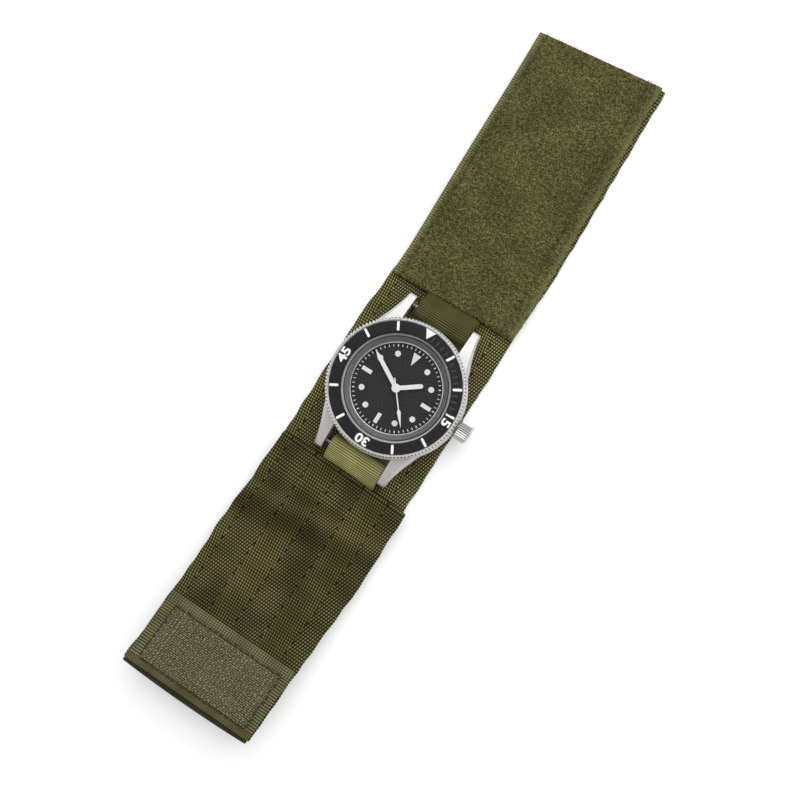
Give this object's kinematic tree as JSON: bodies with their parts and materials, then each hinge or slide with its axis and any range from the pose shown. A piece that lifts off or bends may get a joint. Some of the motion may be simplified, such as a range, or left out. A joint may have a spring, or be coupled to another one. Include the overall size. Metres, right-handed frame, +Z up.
{
  "type": "watch strap",
  "caption": "Wide hook-and-loop webbing wrist strap with a fold-over cover flap, and a round dive-style watch on a narrow pass-through band.",
  "frame": {"origin": "on the underside of the base band, on the watch's axis", "axes": "+Y runs along the strap to its loop end (12 o'clock), +X to the crown (3 o'clock), +Z up from the wrist side to the crystal"},
  "size_m": [0.0461, 0.2214, 0.0132],
  "materials": {
    "webbing": "woven nylon, matt",
    "loop_cloth": "brushed loop pile, matt",
    "hook_cloth": "fine moulded hooks, slight sheen",
    "narrow_webbing": "fine ribbed nylon",
    "steel": "brushed and polished",
    "spring_steel": "satin",
    "insert_black": "glossy",
    "crystal_glass": "clear",
    "rehaut_grey": "satin",
    "dial_black": "matt",
    "hand_white": "matt",
    "gasket_white": "matt",
    "rubber": "matt",
    "brass": "plated",
    "holder_white": "matt"
  },
  "bodies": {
    "strap_center": {"base_band_center": "webbing", "loop_panel_center": "loop_cloth", "cover_anchor": "webbing", "watch_band": "narrow_webbing", "mid_case": "steel", "case_back": "steel", "case_back_gasket": "rubber", "bezel_click_ring": "spring_steel", "crystal": "crystal_glass", "crystal_gasket": "gasket_white", "rehaut": "rehaut_grey", "dial": "dial_black", "hand_arbor": "steel", "movement": "brass", "movement_holder": "holder_white", "battery_cell": "steel", "crown_tube": "steel", "spring_bar_upper": "steel", "spring_bar_lower": "steel"},
    "bezel": {"bezel_ring": "steel", "bezel_insert": "insert_black"},
    "hour_hand": {"hour_hand": "hand_white"},
    "minute_hand": {"minute_hand": "hand_white"},
    "seconds_hand": {"seconds_hand": "hand_white"},
    "crown_seal": {"crown_gasket": "rubber"},
    "crown": {"crown": "steel", "winding_stem": "steel"},
    "cover_riser": {"cover_flap_1": "webbing"},
    "cover_span": {"cover_flap_2": "webbing"},
    "cover_drop": {"cover_flap_3": "webbing", "cover_hook_panel_1": "hook_cloth"},
    "cover_end": {"cover_flap_4": "webbing", "cover_hook_panel_2": "hook_cloth"},
    "upper_1": {"base_band_upper_1": "webbing", "loop_panel_1": "loop_cloth"},
    "lower_1": {"base_band_lower_1": "webbing"},
    "upper_2": {"base_band_upper_2": "webbing", "loop_panel_2": "loop_cloth"},
    "lower_2": {"base_band_lower_2": "webbing"},
    "upper_3": {"base_band_upper_3": "webbing", "loop_panel_3": "loop_cloth"},
    "lower_3": {"base_band_lower_3": "webbing"},
    "upper_4": {"base_band_upper_4": "webbing", "loop_panel_4": "loop_cloth"},
    "lower_4": {"base_band_lower_4": "webbing", "band_hook_panel": "hook_cloth"}
  },
  "joints": [
    {"name": "cover_fold", "type": "hinge", "parent": "strap_center", "child": "cover_riser", "pos_m": [0, -0.0294, 0.0041], "axis": [-1, 0, 0], "range_deg": [0, 131.34]},
    {"name": "cover_bend_1", "type": "hinge", "parent": "cover_riser", "child": "cover_span", "pos_m": [0, -0.04322, 0.00373], "axis": [-1, 0, 0], "range_deg": [0, 41.74]},
    {"name": "cover_bend_2", "type": "hinge", "parent": "cover_span", "child": "cover_drop", "pos_m": [0, -0.08411, 0.00817], "axis": [-1, 0, 0], "range_deg": [0, 51.16]},
    {"name": "cover_bend_3", "type": "hinge", "parent": "cover_drop", "child": "cover_end", "pos_m": [0, -0.0953, 0.00888], "axis": [-1, 0, 0], "range_deg": [-54.73, 0]},
    {"name": "wrist_upper", "type": "hinge", "parent": "strap_center", "child": "upper_1", "pos_m": [0, 0.0375, 0], "axis": [-1, 0, 0], "range_deg": [0, 65]},
    {"name": "upper_bend_1", "type": "hinge", "parent": "upper_1", "child": "upper_2", "pos_m": [0, 0.04958, 0], "axis": [-1, 0, 0], "range_deg": [0, 50.05]},
    {"name": "upper_bend_2", "type": "hinge", "parent": "upper_2", "child": "upper_3", "pos_m": [0, 0.06166, 0], "axis": [-1, 0, 0], "range_deg": [0, 39.98]},
    {"name": "upper_bend_3", "type": "hinge", "parent": "upper_3", "child": "upper_4", "pos_m": [0, 0.07374, 0], "axis": [-1, 0, 0], "range_deg": [0, 25.02]},
    {"name": "wrist_lower", "type": "hinge", "parent": "strap_center", "child": "lower_1", "pos_m": [0, -0.034, 0], "axis": [1, 0, 0], "range_deg": [0, 67]},
    {"name": "lower_bend_1", "type": "hinge", "parent": "lower_1", "child": "lower_2", "pos_m": [0, -0.048, 0.00081], "axis": [1, 0, 0], "range_deg": [0, 51.72]},
    {"name": "lower_bend_2", "type": "hinge", "parent": "lower_2", "child": "lower_3", "pos_m": [0, -0.062, 0.00228], "axis": [1, 0, 0], "range_deg": [0, 40.94]},
    {"name": "lower_bend_3", "type": "hinge", "parent": "lower_3", "child": "lower_4", "pos_m": [0, -0.076, 0.00418], "axis": [1, 0, 0], "range_deg": [0, 29.01]},
    {"name": "bezel_turn", "type": "hinge", "parent": "strap_center", "child": "bezel", "pos_m": [0, 0, 0.0097], "axis": [0, 0, 1], "continuous": true},
    {"name": "crown_pull", "type": "slide", "parent": "strap_center", "child": "crown_seal", "axis": [1, 0, 0], "range_m": [0, 0.001]},
    {"name": "crown_turn", "type": "hinge", "parent": "crown_seal", "child": "crown", "pos_m": [0.0206, 0, 0.00685], "axis": [1, 0, 0], "continuous": true},
    {"name": "minute_turn", "type": "hinge", "parent": "strap_center", "child": "minute_hand", "pos_m": [0, 0, 0.01], "axis": [0, 0, -1], "continuous": true},
    {"name": "hour_turn", "type": "hinge", "parent": "strap_center", "child": "hour_hand", "pos_m": [0, 0, 0.0096], "axis": [0, 0, -1], "continuous": true},
    {"name": "seconds_turn", "type": "hinge", "parent": "strap_center", "child": "seconds_hand", "pos_m": [0, 0, 0.0104], "axis": [0, 0, -1], "continuous": true}
  ],
  "couplings": [
    {"joint": "cover_bend_3", "follows": "cover_bend_2", "ratio": -1.0698},
    {"joint": "upper_bend_1", "follows": "wrist_upper", "ratio": 0.77},
    {"joint": "upper_bend_2", "follows": "wrist_upper", "ratio": 0.615},
    {"joint": "upper_bend_3", "follows": "wrist_upper", "ratio": 0.385},
    {"joint": "lower_bend_1", "follows": "wrist_lower", "ratio": 0.772},
    {"joint": "lower_bend_2", "follows": "wrist_lower", "ratio": 0.611},
    {"joint": "lower_bend_3", "follows": "wrist_lower", "ratio": 0.433},
    {"joint": "hour_turn", "follows": "minute_turn", "ratio": 0.083333}
  ]
}
